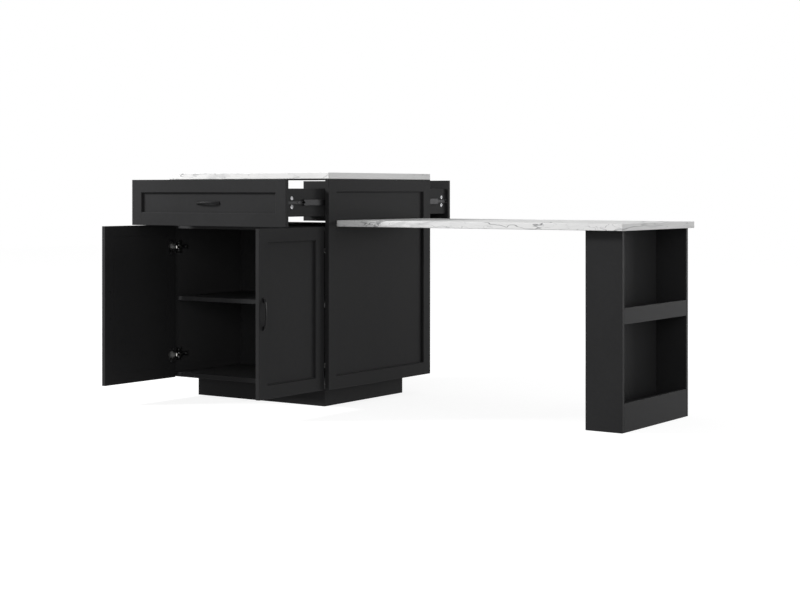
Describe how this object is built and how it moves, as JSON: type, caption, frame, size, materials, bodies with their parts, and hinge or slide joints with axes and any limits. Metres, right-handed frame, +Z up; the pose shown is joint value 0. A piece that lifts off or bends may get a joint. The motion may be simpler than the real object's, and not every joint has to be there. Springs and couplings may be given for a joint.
{
  "type": "kitchen island with table",
  "caption": "Black kitchen island cabinet with shaker doors, a drawer at front and back, marble-look worktop, and a lower side table on an open shelf leg.",
  "frame": {"origin": "on the floor under the middle of the cabinet, on the underside of the plinth's centre rail", "axes": "+X from the cabinet towards the table and its leg, +Y from the doors towards the back, +Z up"},
  "size_m": [2.056, 1.2881, 0.915],
  "materials": {
    "black_paint": "satin black paint on board",
    "black_inside": "matt black board",
    "stone": "white marble-look laminate, polished",
    "handle_black": "satin black",
    "nickel": "nickel plated",
    "zinc": "zinc plated",
    "slide_steel": "black coated",
    "steel": "plain"
  },
  "bodies": {
    "cabinet": {"countertop": "stone", "left_side_frame": "black_paint", "left_side_infill": "black_paint", "right_side_frame": "black_paint", "right_side_infill": "black_paint", "bottom_board": "black_paint", "divider_board": "black_paint", "middle_wall": "black_inside", "front_shelf": "black_inside", "rear_shelf": "black_inside", "shelf_pins": "steel", "plinth_front": "black_paint", "plinth_back": "black_paint", "plinth_sides": "black_paint", "plinth_centre_rail": "black_paint", "slide_cabinet_members": "slide_steel", "hinge_plates": "nickel", "hinge_arms": "nickel", "corner_brackets": "zinc", "wood_screws": "steel", "table_top": "stone", "table_bolts": "steel", "leg_side_boards": "black_paint", "leg_back_panel": "black_paint", "leg_shelf": "black_inside", "leg_shelf_lip": "black_paint", "leg_bottom_board": "black_inside", "leg_kick_board": "black_paint"},
    "left_door": {"left_door_frame": "black_paint", "left_door_infill": "black_paint", "left_door_handle": "handle_black", "left_door_screws": "steel", "left_hinge_cups": "nickel"},
    "right_door": {"right_door_frame": "black_paint", "right_door_infill": "black_paint", "right_door_handle": "handle_black", "right_door_screws": "steel", "right_hinge_cups": "nickel"},
    "left_hinge_links": {"left_hinge_links": "nickel"},
    "right_hinge_links": {"right_hinge_links": "nickel"},
    "front_drawer": {"front_drawer_frame": "black_paint", "front_drawer_infill": "black_paint", "front_drawer_sides": "black_paint", "front_drawer_back": "black_paint", "front_drawer_floor": "black_inside", "front_drawer_handle": "handle_black", "front_drawer_screws": "steel", "front_drawer_cams": "nickel", "front_drawer_slides": "slide_steel"},
    "rear_drawer": {"rear_drawer_frame": "black_paint", "rear_drawer_infill": "black_paint", "rear_drawer_sides": "black_paint", "rear_drawer_back": "black_paint", "rear_drawer_floor": "black_inside", "rear_drawer_handle": "handle_black", "rear_drawer_screws": "steel", "rear_drawer_cams": "nickel", "rear_drawer_slides": "slide_steel"},
    "front_slide_middles": {"front_slide_middles": "slide_steel"},
    "rear_slide_middles": {"rear_slide_middles": "slide_steel"}
  },
  "joints": [
    {"name": "left_door_swing", "type": "hinge", "parent": "cabinet", "child": "left_door", "pos_m": [-0.39425, -0.35425, 0.39175], "axis": [0, 0, -1], "range_deg": [-92, 16]},
    {"name": "right_door_swing", "type": "hinge", "parent": "cabinet", "child": "right_door", "pos_m": [0.39425, -0.35425, 0.39175], "axis": [0, 0, 1], "range_deg": [-90, 18]},
    {"name": "left_links_turn", "type": "hinge", "parent": "cabinet", "child": "left_hinge_links", "pos_m": [-0.3717, -0.341, 0.39175], "axis": [0, 0, -1], "range_deg": [-92, 16]},
    {"name": "right_links_turn", "type": "hinge", "parent": "cabinet", "child": "right_hinge_links", "pos_m": [0.3717, -0.341, 0.39175], "axis": [0, 0, 1], "range_deg": [-90, 18]},
    {"name": "front_drawer_slide", "type": "slide", "parent": "cabinet", "child": "front_drawer", "axis": [0, -1, 0], "range_m": [-0.24, 0.05]},
    {"name": "rear_drawer_slide", "type": "slide", "parent": "cabinet", "child": "rear_drawer", "axis": [0, 1, 0], "range_m": [-0.183, 0.107]},
    {"name": "front_middles_slide", "type": "slide", "parent": "cabinet", "child": "front_slide_middles", "axis": [0, -1, 0], "range_m": [-0.144, 0.03]},
    {"name": "rear_middles_slide", "type": "slide", "parent": "cabinet", "child": "rear_slide_middles", "axis": [0, 1, 0], "range_m": [-0.1098, 0.0642]}
  ],
  "couplings": [
    {"joint": "left_links_turn", "follows": "left_door_swing", "ratio": 1},
    {"joint": "right_links_turn", "follows": "right_door_swing", "ratio": 1},
    {"joint": "front_middles_slide", "follows": "front_drawer_slide", "ratio": 0.6},
    {"joint": "rear_middles_slide", "follows": "rear_drawer_slide", "ratio": 0.6}
  ]
}
